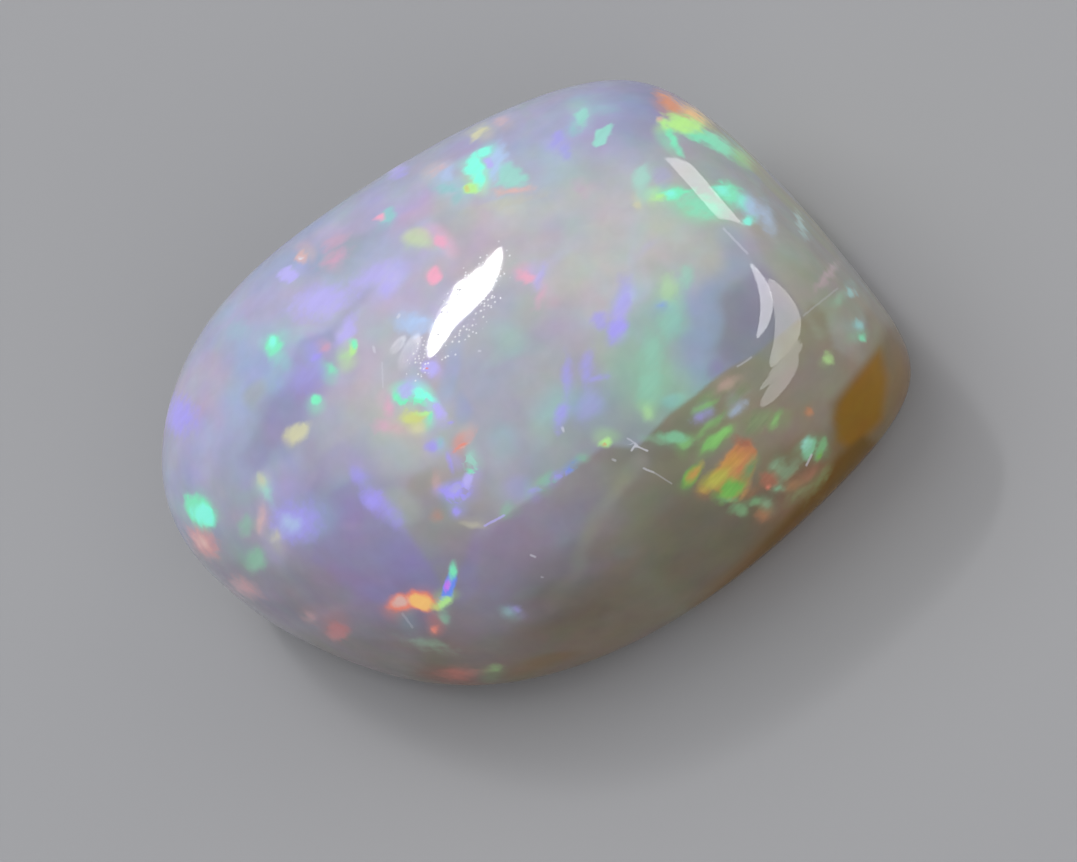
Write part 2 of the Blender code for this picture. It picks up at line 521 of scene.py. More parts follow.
# Flashes in two layers, in groups: place, half length, half width, turn, softness, strength, colour
UNDER = {
    "upper left": [
        (180, 415, 16, 14, 80, 12, 0.8, "violet"), (274, 347, 12.5, 7.5, -72, 4, 0.9, "mint"),
        (282, 362, 12, 7, -50, 8, 0.4, "teal"), (315.5, 398.5, 5.5, 5, 0, 2.5, 0.95, "mint"),
        (296, 433, 12, 7.5, 36, 6, 0.8, "cream"), (330, 368, 7, 5.5, -50, 4, 0.65, "mint"),
        (350.5, 350, 8.5, 4.5, 82, 3, 0.85, "lime"), (345, 356, 6, 5, 0, 5, 0.25, "lime"),
        (326, 348, 6, 4.5, 20, 4, 0.6, "rose"), (316, 357, 6, 5, 0, 4, 0.7, "violet"),
        (348, 330, 15, 5.5, 62, 5, 0.7, "pale violet"), (322, 301, 27, 12, 18, 12, 0.75, "pale violet"),
        (372, 275, 22, 7, 30, 8, 0.6, "pale violet"), (388, 287, 9, 7, 60, 8, 0.5, "pale violet"),
        (287, 275, 8.5, 7.5, 0, 4, 0.85, "pale violet"), (302, 257, 7, 5, 88, 3, 0.75, "peach"),
        (334, 259, 14, 4.5, 28, 5, 0.7, "rose"), (334, 242, 12, 5, 28, 5, 0.45, "rose"),
        (388, 215, 9.5, 6.5, 50, 4, 0.75, "teal"), (417, 242, 12, 8, 10, 8, 0.22, "lime"),
        (440, 241, 10, 5.5, -25, 4, 0.75, "pink"), (434.5, 276.5, 8.5, 5.5, 88, 3, 0.95, "pink"),
        (412, 324, 16, 9, -8, 7, 0.65, "sky"), (431, 368, 9, 7.5, -30, 4, 0.85, "pale violet"),
        (398, 171, 9, 6, 30, 6, 0.4, "violet"), (306, 376, 22, 10, 20, 12, 0.3, "violet"),
        (240, 330, 12, 9, 0, 10, 0.25, "teal"),
    ],
    "top": [
        (479, 133, 10, 3.6, 38, 3, 0.85, "cream"), (500, 121, 6, 3, 30, 4, 0.4, "peach"),
        (484, 152, 9, 4.5, 35, 3, 0.9, "aqua"), (473.5, 166, 12, 7, 72, 3.5, 1.0, "aqua"),
        (479, 179, 9, 6.5, -75, 3.5, 1.0, "aqua"), (497, 163, 16, 7, 80, 6, 0.75, "sky"),
        (471, 188, 8.5, 4.5, 5, 3, 0.95, "lime"), (448, 172, 9, 7, 60, 6, 0.45, "sky"),
        (441, 168, 9, 2.2, 32, 3, 0.55, "peach"), (446, 188.5, 12, 4, 0, 4, 0.6, "teal"),
        (458, 198, 8, 3.5, 45, 4, 0.45, "teal"), (582, 117, 10.5, 7, 86, 4, 0.75, "ice"),
        (573, 129, 6, 4, 60, 4, 0.55, "teal"), (600, 108, 14, 5, -10, 6, 0.3, "teal"),
        (558, 139, 11, 5.5, 45, 6, 0.5, "violet"), (566, 150, 9, 5, 80, 6, 0.4, "violet"),
        (581, 188, 8, 6, 0, 8, 0.15, "pink"), (508, 202, 30, 3.5, 12, 5, 0.3, "cream"),
    ],
    "centre": [
        (527, 278, 9.5, 6, -5, 4, 0.7, "pink"), (538, 279, 12, 4.5, 75, 5, 0.5, "pale violet"),
        (540, 298, 9, 4, 60, 6, 0.35, "pink"), (600, 320, 8, 7, 0, 6, 0.45, "violet"),
        (617, 329, 12, 8, 65, 6, 0.8, "violet"), (622, 300, 20, 7, 82, 8, 0.35, "violet"),
        (566, 378, 16, 3.5, 88, 5, 0.5, "violet"), (562.5, 415, 13, 5, 75, 5, 0.6, "violet"),
        (588, 368, 15, 5, 80, 6, 0.45, "violet"), (597, 378, 11, 3, 10, 4, 0.5, "violet"),
        (590, 405, 16, 10, 60, 10, 0.22, "violet"), (605, 443, 6.5, 4.5, 20, 3, 0.8, "lime"),
        (668, 292, 16, 10, 75, 9, 0.3, "lime"), (672, 318, 20, 9, 70, 9, 0.2, "mint"),
        (652, 352, 20, 10, 85, 9, 0.16, "mint"), (650, 385, 22, 10, 85, 9, 0.18, "mint"),
        (649, 412, 8, 6, 90, 5, 0.4, "lime"), (686, 276, 10, 5, 70, 6, 0.25, "mint"),
        (662, 305, 5, 4, 0, 4, 0.4, "blue"),
    ],
    "seam": [
        (407, 391, 9, 6.5, 20, 4, 0.75, "pale violet"), (418, 393, 9, 5.5, 0, 3, 1.0, "aqua"),
        (429, 397, 8, 3, -14, 3, 1.0, "aqua"), (398.5, 397, 6, 3.5, -70, 3, 0.95, "mint"),
        (408, 402, 11, 3.2, -4, 3, 0.95, "mint"), (437, 409, 9, 6, -60, 4, 0.9, "pale violet"),
        (414, 418, 12, 6, 4, 4, 0.85, "lemon"), (418, 427, 7, 3.5, 0, 4, 0.7, "cream"),
        (430.5, 416, 7, 3, 80, 3, 0.8, "mint"), (389, 407, 8, 5, 70, 6, 0.45, "pink"),
        (384, 427, 9, 6, 0, 7, 0.3, "pink"), (396, 428, 8, 4, 0, 6, 0.3, "peach"),
        (433, 445, 9, 4.5, 5, 4, 0.7, "violet"), (440, 443.5, 5, 3.5, 60, 3, 0.6, "teal"),
        (449, 462, 8, 2.5, -72, 3, 0.7, "violet"), (462, 445.5, 10.5, 1.8, 46, 2.4, 1.0, "coral"),
        (470, 435, 8, 4, 60, 5, 0.4, "peach"), (471, 463, 10, 5, 84, 4, 0.55, "pale mint"),
        (468, 480, 8, 4.5, 70, 3, 0.85, "pale violet"), (455, 492, 9.5, 7, 25, 3, 0.95, "violet"),
        (445, 492, 7, 2.6, 0, 3, 0.85, "violet"), (466, 495, 6, 2.4, 30, 3, 0.6, "violet"),
        (457, 511, 5, 3.6, 80, 3, 0.8, "violet"), (506, 510, 9, 5, 50, 6, 0.4, "jade"),
        (547, 480, 10, 6.5, 36, 5, 0.5, "jade"), (536, 490, 6, 2.4, 40, 3, 0.5, "violet"),
        (559, 475, 7, 2.2, 33, 3, 0.6, "violet"), (572, 467, 6, 2.2, 30, 3, 0.5, "blue"),
        (583, 461, 8, 3.5, 30, 4, 0.4, "jade"), (473, 525, 9, 2.5, -10, 3, 0.35, "cream"),
        (449.5, 421.5, 3, 2.5, 0, 2.5, 0.6, "violet"), (437, 482, 5, 12, 0, 10, 0.25, "peach"),
    ],
    "lower left": [
        (200, 511, 19, 12, -48, 5, 0.95, "mint"), (203, 541, 17, 9, -50, 8, 0.45, "coral"),
        (262, 481, 8, 4.5, -72, 4, 0.6, "cream"), (266, 490, 12, 5.5, -66, 6, 0.55, "pale mint"),
        (261, 520, 13, 4, 84, 5, 0.55, "peach"), (276, 536, 6, 5, 70, 5, 0.5, "cream"),
        (246, 526, 10, 7, 80, 6, 0.4, "jade"), (256, 560, 12, 8.5, 75, 7, 0.55, "jade"),
        (246, 588, 12, 6, -30, 8, 0.25, "coral"), (294, 522, 22, 18, 0, 15, 0.65, "violet"),
        (358, 476, 9, 6, -50, 6, 0.5, "violet"), (372, 500, 11, 8, -45, 7, 0.8, "violet"),
        (388, 514, 14, 6, -42, 9, 0.45, "violet"), (435, 514, 5, 4, 0, 5, 0.25, "orange"),
        (400, 602, 13, 9.5, 10, 3.5, 0.95, "coral"), (420, 601, 16, 9.5, -15, 3.5, 0.95, "coral"),
        (444, 602, 10, 5.5, 20, 3, 0.9, "lime"), (434, 629, 5, 3.5, 0, 3, 0.8, "coral"),
        (444, 617, 7, 4, -60, 4, 0.55, "jade"), (338, 631, 10, 8.5, 0, 6, 0.85, "dull red"),
        (311, 617, 7, 5, 0, 6, 0.2, "orange"), (428, 644, 18, 4, -14, 6, 0.25, "jade"),
        (508, 611, 7, 4, 10, 5, 0.35, "teal"), (516, 608, 4, 3, 0, 3, 0.35, "violet"),
        (494, 669, 6, 3, 10, 4, 0.3, "leaf"), (462, 673, 18, 5, 3, 6, 0.25, "red"),
    ],
    "top right": [
        (671, 103, 17, 6, -36, 5, 0.85, "orange"), (692, 114, 18, 5, -36, 5, 0.8, "gold"),
        (686, 124, 20, 10, -14, 5, 1.0, "lime"), (698, 136, 14, 5, -20, 4, 0.9, "mint"),
        (718, 144, 24, 7, -33, 5, 0.8, "mint"), (740, 157, 14, 6, -38, 6, 0.65, "leaf"),
        (664, 124, 9, 4, -60, 3, 0.95, "lime"), (671, 138, 11, 4, -62, 3, 0.85, "mint"),
        (679, 151, 6, 3, -50, 3, 0.7, "mint"), (642, 178, 12, 7.5, 80, 5, 0.5, "pale mint"),
        (644, 194, 9, 6, 80, 5, 0.35, "pale mint"), (638, 204, 5, 4, 0, 3, 0.5, "cream"),
        (677, 193, 17, 5.5, 4, 3.5, 0.95, "mint"), (660, 197, 8, 4, 12, 3, 0.8, "lime"),
        (703, 206, 20, 10, -20, 9, 0.6, "mint"), (728, 193, 14, 8.5, -30, 5, 0.8, "mint"),
        (741, 202, 8, 6, -45, 5, 0.6, "aqua"), (751, 208, 12, 8, -55, 7, 0.6, "sky"),
        (748, 222, 4.5, 4, 0, 3, 0.8, "aqua"), (767, 218, 15, 6, -70, 7, 0.4, "sky"),
        (662, 177, 9, 8, 0, 7, 0.15, "violet"), (800, 225, 12, 2.5, -70, 3, 0.4, "teal"),
        (825, 278, 14, 3.2, 50, 5, 0.3, "rose"), (851, 293, 5, 4.5, 0, 4, 0.6, "teal"),
        (858, 325, 5, 4.5, 0, 4, 0.65, "teal"), (861, 338, 4.5, 4, 0, 3, 0.6, "mint"),
        (838, 300, 8, 4, 60, 5, 0.3, "jade"),
    ],
    "lower right": [
        (703, 406, 14, 2.8, 32, 3, 0.6, "leaf"), (738, 394, 14, 5, 40, 6, 0.4, "moss green"),
        (737, 408, 10, 4.5, 42, 5, 0.45, "sky"), (700, 415, 8, 4.5, 20, 5, 0.45, "violet"),
        (711, 425, 19, 3.2, 42, 4, 0.45, "leaf"), (677, 439, 16, 6, -10, 4, 0.8, "jade"),
        (687, 443, 8, 5, 30, 4, 0.6, "leaf"), (718, 440, 20, 5.2, 40, 3, 0.85, "leaf"),
        (756, 422, 15, 7, 45, 7, 0.55, "moss green"), (776, 419, 10, 5, 60, 4, 0.55, "leaf"),
        (692.5, 476.5, 14, 5.6, 57, 3, 0.85, "fern"), (727, 385, 14, 4, 30, 5, 0.3, "peach"),
        (707, 490, 5.5, 4.5, 0, 4, 0.6, "ember"), (744, 492, 8, 3.5, 62, 4, 0.5, "amber"),
        (808.5, 448.5, 13, 4.8, 62, 2.2, 0.8, "jade"), (821, 450, 12, 4.2, 72, 2.2, 0.75, "bottle"),
        (775, 466, 7, 5.5, 20, 5, 0.35, "jade"), (768.5, 480, 11, 8.5, -30, 5, 0.75, "russet"),
        (779, 489, 6, 3, 20, 3, 0.6, "jade"), (756.5, 501, 5, 4, 0, 4, 0.5, "bottle"),
        (739.5, 509, 8, 6.5, 0, 6, 0.45, "bottle"), (764, 513, 7, 5, 30, 6, 0.35, "ember"),
        (766, 504, 5.5, 4, 0, 5, 0.35, "jade"), (787, 471, 12, 7, 40, 8, 0.3, "jade"),
        (821, 479, 16, 3.6, 58, 4, 0.45, "moss green"), (808, 476, 13, 5, 45, 6, 0.4, "russet"),
        (793, 486, 8, 4, 30, 6, 0.3, "ember"), (801, 493, 16, 6, 30, 8, 0.35, "moss green"),
        (828, 359, 5, 4, 85, 4, 0.5, "lime"), (809.5, 413, 4, 3.6, 0, 3, 0.6, "ember"),
        (655, 440, 12, 3, -10, 4, 0.3, "jade"),
    ],
}
OVER = {
    "upper left": [
        (272, 341.5, 6, 3.5, -75, 3, 0.95, "aqua"), (378, 217, 5, 3.5, 20, 3, 0.95, "pink"),
        (352, 344, 4, 3, 90, 3, 0.95, "mint"), (302, 258, 2, 2, 0, 1.5, 0.9, "white"),
        (418, 322, 7, 3, 0, 4, 0.8, "sky"), (429, 369, 1.8, 1.4, 0, 1.2, 1.0, "coral"),
    ],
    "top": [
        (488.5, 163.5, 4.5, 4, 0, 3, 0.9, "pale violet"), (467, 188, 2.6, 2.2, 0, 2, 0.9, "lemon"),
        (513, 190.5, 15, 3.2, 8, 4, 0.8, "peach"),
    ],
    "seam": [
        (423, 414, 7.5, 2.8, 6, 2.5, 0.85, "lime"), (471.5, 470.5, 5, 3.5, 0, 2.5, 0.9, "mint"),
        (416, 391, 5, 3, 0, 3, 0.7, "aqua"), (464, 446, 5, 1, 44, 1.5, 0.7, "peach"),
        (455, 489, 4, 4, 0, 3, 0.4, "pale violet"), (603, 445, 2, 1.8, 0, 1.5, 0.8, "orange"),
    ],
    "lower left": [
        (204, 514, 12.5, 8.5, -48, 4, 1.0, "aqua"), (203, 541, 8, 4.5, -50, 5, 0.8, "peach"),
        (399, 601, 8.5, 6, 10, 3, 0.95, "peach"), (421, 602, 11.5, 7, -15, 2.5, 1.0, "gold"),
        (435, 606, 4.5, 2.5, -30, 2.5, 0.9, "lemon"), (453, 572, 8, 3.4, 78, 2.5, 0.95, "mint"),
        (447, 586, 7.5, 3.6, 72, 2.2, 1.0, "magenta"), (290, 524, 9, 8, 0, 9, 0.6, "sky"),
    ],
    "top right": [
        (684, 123, 11, 4.5, -14, 6, 1.0, "bright lime"), (660, 119, 4, 3, -50, 3, 0.9, "peach"),
        (670, 193, 7, 3.2, 0, 3, 0.9, "aqua"), (723, 189, 6, 4, -30, 4, 0.9, "aqua"),
    ],
    "lower right": [
        (744, 443, 9, 5, -20, 6, 0.95, "russet"), (731, 463, 15, 7, 38, 8, 1.0, "amber"),
        (719, 477, 19, 9, 38, 7, 1.0, "old gold"), (730, 489, 16, 8.5, 34, 6, 1.0, "fern"),
        (750, 468, 14, 5, 64, 5, 0.95, "moss green"), (727, 499, 8, 2.4, 5, 3, 0.85, "bottle"),
        (695, 474, 9, 3, 57, 4, 0.9, "amber"), (721, 438, 9, 3, 40, 3, 0.9, "lime leaf"),
        (768, 488, 3, 2.6, 0, 3, 0.8, "coral"), (806, 446, 7, 2.6, 64, 3, 0.8, "ice"),
        (820, 457, 4, 3, 70, 3, 0.8, "fern"),
    ],
}
# Flashes with corners, in the lower layer: corners, softness, strength, colour
FACETS = [
    ([(499, 164), (510, 164), (526, 176), (528, 183), (512, 187), (497, 186)], 6, 0.75, "ice"),
    ([(592, 143), (597, 129), (611, 122), (611, 136), (606, 144), (597, 147)], 3, 0.85, "ice"),
    ([(453, 566), (456, 580), (455, 598), (437, 600), (444, 583)], 2.5, 0.95, "blue"),
    ([(710, 476), (724, 458), (738, 444), (747, 439), (758, 452), (754, 472), (744, 488), (729, 502),
      (714, 490)], 3.5, 0.85, "ember"),
]

# Fine lines: start, end, half width, strength, colour; each is drawn within its reach in pixels
LINE_REACH = 4
# Most fine lines are hairline cracks and scratches; some white ones carry painted glints, and one is a
# painted reflection.
LINES = [
    ((484, 526), (505, 515), 1.3, 0.9, "pale violet"), ((627, 438), (638, 445), 0.9, 0.45, "white"),
    ((631, 451), (636, 444), 1.0, 0.75, "white"), ((636, 446), (648, 451), 1.0, 0.7, "white"),
    ((643, 468), (655, 473), 1.1, 0.55, "white"), ((655, 473), (672, 484), 0.9, 0.3, "white"),
    # The white stroke from (382, 362) to (383, 388) is a scratch beside the long highlight, white from a
    # painted glint of the lamp.
    ((382, 362), (383, 388), 0.9, 0.25, "white"), ((402, 613), (413, 628), 1.2, 0.25, "white"),
    ((806, 466), (812, 454), 1.2, 0.6, "white"), ((737, 367), (752, 357), 1.0, 0.35, "white"),
    ((530, 555), (536, 557), 1.1, 0.6, "white"), ((541, 577), (544, 577), 1.1, 0.5, "white"),
    ((612, 459), (616, 461), 1.2, 0.5, "white"), ((562, 427), (564, 432), 1.4, 0.6, "white"),
    # The white strokes at (478, 351) and (397, 318) are scratches beside the long highlight, white from
    # painted glints of the lamp.
    ((478, 351), (481, 351), 1.1, 0.6, "white"), ((397, 318), (400, 314), 1.6, 0.6, "white"),
    # The white stroke at (373, 346) is a scratch with a painted glint; the one from (723, 228) to (748, 254)
    # is a painted reflection, the thin pale line below the upper reflection on the shoulder.
    ((373, 346), (375, 353), 1.5, 0.45, "white"), ((723, 228), (748, 254), 1.3, 0.35, "white"),
    ((803, 316), (838, 288), 1.0, 0.2, "white"),
]
# The pale veil that hangs below the seam: its way, half width, softness, share, and where it fades out
VEIL_WIDTH = 12
VEIL_SOFT = 11
VEIL_SHARE = 0.65
VEIL_FADE = (490, 110, 0.75)
VEIL = [(640, 462), (618, 486), (606, 505), (587, 543), (568, 583), (550, 606)]

# Where flashes are broken into fragments by the seam: place, half length, half width, turn
FRAGMENTS = [
    (418, 402, 26, 14, -20), (470, 464, 12, 9, -70), (460, 492, 20, 12, 60), (560, 476, 40, 6, 33),
]
# The skin's marks, as ellipses: the core of the long highlight, kept clear in the middle of the grain patch,
# the patch of raised grains with painted glints of the lamp beside the highlight, where flashes are streaked,
# and where the polish is dull
HIGHLIGHT_CORE = (467, 304, 62, 8, 56.6)
GRAIN_GLINT_PATCH = [(467, 304, 82, 30, 56.6), (424, 356, 34, 16, 60)]
STREAKED = (745, 455, 90, 55, 45)
DULL = [(408, 354, 26, 9, 62), (398, 345, 14, 6, 50)]
# Where each ends, if an edge of 1 is the ellipse's own, and how softly
HIGHLIGHT_CORE_EDGE = (1.2, 0.5)
STREAKED_EDGE = 1.4
WEAR_AND_GLINT_EDGE = 1.1
WEAR_AND_GLINTS = ((GRAIN_GLINT_PATCH, 0.9), (DULL, 0.8), (FRAGMENTS, 0.7))

# Waves that make borders uneven: how many, how far they shift a place in pixels, and their lengths in
# millimetres
WAVES = 8
BORDER_WAVES = (1.6, (0.3, 0.9))
ZONE_WAVES = (6.0, (1.0, 3.0))
# How much softer flashes are than their rows say, and how a flash is lost where the skin turns away
SOFTEN = 1.6
FACING_LOSS = (0.08, 40)
IN_VIEW = 0.05
# How sharply the mix of flashes changes, the reaches past which a flash loses and gains no more, and the
# weight that the mix starts with
MIX_POWER = 5.0
MIX_REACHES = (-3.0, 1.4)
MIX_START = 1e-9
# The reach where there is no flash yet, and the least and the most that are stored
NO_REACH = -9.0
STORED_REACHES = (-4.0, 3.0)
# The milky halo round each flash: its width in pixels, its share of the flash's strength, and its edge
HALO = 7
HALO_SHARE = 0.38
HALO_EDGE = 1.15
# Faint patches of colour over the whole face: how many, their edge, where 1 is the ellipse's own, what they
# lose on the clear side, and the ranges of their places and half lengths in pixels, width and strength
CLOUDS = 110
CLOUD_EDGE = 1.2
CLEAR_LOSS = 0.75
CLOUD_SEED = 5
CLOUD_AREA = ((150, 80), (660, 650))
CLOUD_HALF_LENGTH = (14, 44)
CLOUD_WIDTH_SHARE = (0.3, 0.7)
CLOUD_STRENGTH = (0.08, 0.24)
CLOUD_COLOURS = ["teal", "sage", "rose", "pale violet", "sky", "dove", "violet", "rose milk", "pale mint"]

RANDOM_SEED = 11
# Flashes on the sides that the photograph doesn't show, kept clear of the edge of the back
HIDDEN_FLASHES = 110
HIDDEN_LOWEST = 1.0 * MM
HIDDEN_HALF_LENGTH = (0.12 * MM, 0.45 * MM)
HIDDEN_WIDTH_SHARE = (0.35, 0.9)
HIDDEN_SOFTNESS = (0.12 * MM, 0.45 * MM)
HIDDEN_STRENGTH = (0.25, 0.8)
# What is added to the reach of each, and what it loses where the skin turns to the eye
HIDDEN_REACH = (0.1, 0.5)
HIDDEN_LOSS = 12
HIDDEN_COLOURS = ["aqua", "mint", "pale mint", "jade", "lime", "violet", "pale violet", "sky", "pink", "rose",
                  "coral", "gold", "teal"]


def face_places(points):
    """Where points are seen on the photograph, in pixels to the right and down."""
    right, up, back = (np.array(axis) for axis in view_axes())
    offset = points - np.array(VIEW_MIDDLE)
    depth = VIEW_DISTANCE - offset @ back
    flat = np.stack([offset @ right, offset @ up], -1) * (VIEW_DISTANCE / depth)[:, None]
    return flat / PIXEL * (1, -1) + (PHOTO_WIDTH / 2, PHOTO_HEIGHT / 2)


def shifted(places, points, waves, rng):
    """Places shifted by a sum of sine waves through the stone, each in its own way."""
    amount, (shortest, longest) = waves
    shift = np.zeros_like(places)
    for _ in range(WAVES):
        way = rng.normal(size=3)
        way *= 2 * math.pi / (rng.uniform(shortest, longest) * MM) / np.linalg.norm(way)
        turn = rng.uniform(0, 2 * math.pi)
        step = np.array((math.cos(turn), math.sin(turn)))
        shift += np.sin(points @ way + rng.uniform(0, 2 * math.pi))[:, None] * step * amount / 2
    return places + shift


def spread(places, row):
    """How far out of an ellipse places are: 0 at its middle and 1 on its edge."""
    x, y, long, wide, turn = row[:5]
    angle = math.radians(turn)
    offset = places - (x, y)
    along = offset[:, 0] * math.cos(angle) - offset[:, 1] * math.sin(angle)
    aside = offset[:, 0] * math.sin(angle) + offset[:, 1] * math.cos(angle)
    return np.hypot(along / long, aside / wide)


def smooth(value):
    """0 below 0, 1 above 1, smooth between."""
    held = np.clip(value, 0.0, 1.0)
    return held * held * (3.0 - 2.0 * held)


def route_distance(places, route):
    """Distance in pixels from a route of straight stretches."""
    distance = np.full(len(places), np.inf)
    for start, end in zip(route, route[1:]):
        way = np.subtract(end, start)
        offset = places - start
        share = np.clip(offset @ way / (way @ way), 0.0, 1.0)
        distance = np.minimum(distance, np.linalg.norm(offset - share[:, None] * way, axis=1))
    return distance


def corner_depth(places, corners):
    """Signed distance in pixels into a polygon: to its nearest side, and less than 0 outside.

    A place is inside where a level line from it to the right crosses the sides an odd number of times.
    """
    closed = corners + corners[:1]
    inside = np.zeros(len(places), bool)
    for (start_x, start_y), (end_x, end_y) in zip(closed, closed[1:]):
        if start_y != end_y:
            crosses = (start_y > places[:, 1]) != (end_y > places[:, 1])
            share = (places[:, 1] - start_y) / (end_y - start_y)
            inside ^= crosses & (places[:, 0] < start_x + share * (end_x - start_x))
    depth = route_distance(places, closed)
    return np.where(inside, depth, -depth)


def run_together(places, anchors):
    """Colours of anchors, weighted by how near each is: a narrow bell, with a long faint skirt round it."""
    total = np.zeros((len(places), 3))
    weights = np.full((len(places), 1), LEAST_WEIGHT)
    for x, y, reach, colour in anchors:
        away = np.hypot(places[:, 0] - x, places[:, 1] - y)
        weight = np.exp(-(away / reach) ** 2)[:, None] + SKIRT * np.exp(-away / reach)[:, None]
        total += weight * seen(colour)
        weights += weight
    return total / weights


def seen(colour):
    """Light of a named colour."""
    value = GROUND_COLOURS.get(colour) or FLASH_COLOURS[colour]
    return linear(np.array(value) / 255)


def tinted(ground, share, colour):
    """The ground with a share of a named colour mixed in."""
    return ground + share[:, None] * (seen(colour) - ground)


def faceted(ground, places, facets):
    """The ground with polygons of colour mixed in, each with a soft border."""
    for corners, soft, strength, colour in facets:
        ground = tinted(ground, strength * smooth(corner_depth(places, corners) / soft + 0.5), colour)
    return ground


def ground_colours(places, uneven):
    """The stone's ground: two runs of colour that meet at the seam, soft zones, halos and potch."""
    uneven_little = (places + uneven) / 2
    seam = np.interp(places[:, 0], *np.array(SEAM).T)
    soft = SEAM_SHARP + SEAM_SOFT * smooth((SEAM_SOFT_FROM - places[:, 0]) / SEAM_SOFT_WIDTH)
    below = smooth((places[:, 1] - seam) / soft + 0.5)
    ground = run_together(uneven, MILKY_GROUND) * (1 - below)[:, None]
    ground += run_together(uneven, CLEAR_GROUND) * below[:, None]
    for row in clouds():
        share = row[5] * smooth(CLOUD_EDGE - spread(uneven, row))
        ground = tinted(ground, share * (1 - CLEAR_LOSS * below), row[6])
    ground = faceted(ground, uneven_little, GROUND_FACETS)
    for row in ZONES:
        soft, strength, colour = row[5:]
        ground = tinted(ground, strength * smooth((1 - spread(uneven, row)) * row[3] / soft + 0.5), colour)
    for x, y, long, wide, turn, _, strength, colour in sum(UNDER.values(), []):
        away = spread(uneven, (x, y, long + HALO, wide + HALO, turn))
        ground = tinted(ground, HALO_SHARE * strength * smooth(HALO_EDGE - away), colour)
    ground = tinted(ground, veil_share(places, uneven_little), "veil")
    return faceted(ground, places, POTCH)


def veil_share(places, uneven):
    """How much the veil covers: most on its route, less to its sides and towards its lower end."""
    top, length, loss = VEIL_FADE
    share = VEIL_SHARE * smooth((VEIL_WIDTH - route_distance(uneven, VEIL)) / VEIL_SOFT)
    return share * (1 - loss * smooth((places[:, 1] - top) / length))


def clouds():
    """Faint patches strewn over the stone's face: place, half length, half width, turn, strength, colour."""
    rng = np.random.default_rng(CLOUD_SEED)
    rows = []
    for _ in range(CLOUDS):
        x, y = rng.uniform(*CLOUD_AREA)
        long = rng.uniform(*CLOUD_HALF_LENGTH)
        wide = long * rng.uniform(*CLOUD_WIDTH_SHARE)
        colour = CLOUD_COLOURS[rng.integers(len(CLOUD_COLOURS))]
        rows.append((x, y, long, wide, rng.uniform(0, 180), rng.uniform(*CLOUD_STRENGTH), colour))
    return rows


class Layer:
    """One layer of flashes: at each point the furthest reach, and a colour mixed from the flashes there.

    A flash's part in the mix grows as a power of how far it reaches over the point, so that neighbours
    run into each other softly.
    """

    def __init__(self, ground):
        self.ground = ground
        self.colour = ground * MIX_START
        self.weight = np.full((len(ground), 1), MIX_START)
        self.reach = np.full(len(ground), NO_REACH)

    def add(self, reach, strength, colour):
        weight = np.exp(MIX_POWER * np.clip(reach, *MIX_REACHES))[:, None]
        self.colour += weight * (self.ground + strength * (seen(colour) - self.ground))
        self.weight += weight
        self.reach = np.maximum(self.reach, reach)

    def stored(self):
        return np.column_stack([self.colour / self.weight, np.clip(self.reach, *STORED_REACHES)])


def lay_flashes(layer, places, loss, groups, facets=()):
    """Add the flashes that the photograph shows; what faces away from the eye loses reach."""
    for row in sum(groups.values(), []):
        soft, strength, colour = row[5:]
        layer.add((1 - spread(places, row)) * row[3] / (SOFTEN * soft) + 0.5 - loss, strength, colour)
    for corners, soft, strength, colour in facets:
        layer.add(corner_depth(places, corners) / (SOFTEN * soft) + 0.5 - loss, strength, colour)


def lay_hidden_flashes(layer, points, normals, facing, rng):
    """Strew flashes over the sides that the photograph doesn't show."""
    choices = np.flatnonzero((facing < 0.0) & (points[:, 2] > HIDDEN_LOWEST))
    for middle in rng.choice(choices, HIDDEN_FLASHES):
        normal = normals[middle]
        across = np.cross(normal, rng.normal(size=3))
        across /= np.linalg.norm(across)
        along = np.cross(normal, across)
        long = rng.uniform(*HIDDEN_HALF_LENGTH)
        wide = long * rng.uniform(*HIDDEN_WIDTH_SHARE)
        offset = points - points[middle]
        parts = [offset @ along / long, offset @ across / wide, offset @ normal / long]
        out = np.linalg.norm(parts, axis=0)
        soft = rng.uniform(*HIDDEN_SOFTNESS)
        strength = rng.uniform(*HIDDEN_STRENGTH)
        loss = np.maximum(facing, 0.0) * HIDDEN_LOSS
        reach = (1 - out) * wide / soft + rng.uniform(*HIDDEN_REACH) - loss
        layer.add(reach, strength, HIDDEN_COLOURS[rng.integers(len(HIDDEN_COLOURS))])


def store(mesh, name, values):
    """Store a colour with alpha for each point."""
    held = mesh.attributes.new(name, "FLOAT_COLOR", "POINT")
    held.data.foreach_set("color", np.ascontiguousarray(values, dtype=np.float32).ravel())


def paint(mesh, points):
    """Store the stone's colours on its points: ground, two layers of flashes, fine lines, and wear with
    painted glints.
    """
    rng = np.random.default_rng(RANDOM_SEED)
    normals = np.empty(len(points) * 3)
    mesh.vertex_normals.foreach_get("vector", normals)
    normals = normals.reshape(-1, 3)
    places = face_places(points)
    facing = normals @ np.array(view_axes()[2])
    loss = np.maximum(FACING_LOSS[0] - facing, 0.0) * FACING_LOSS[1]
    ground = ground_colours(places, shifted(places, points, ZONE_WAVES, rng))
    uneven = shifted(places, points, BORDER_WAVES, rng)
    store(mesh, "ground", np.column_stack([ground, np.ones(len(points))]))
    under = Layer(ground)
    lay_flashes(under, uneven, loss, UNDER, FACETS)
    lay_hidden_flashes(under, points, normals, facing, rng)
    store(mesh, "under", under.stored())
    over = Layer(ground)
    lay_flashes(over, uneven, loss, OVER)
    store(mesh, "over", over.stored())
    store(mesh, "wear_and_glints", wear_and_glints(places, facing))
    store(mesh, "line", line_fields(places, facing))
    store(mesh, "line_colour", line_colours(places))


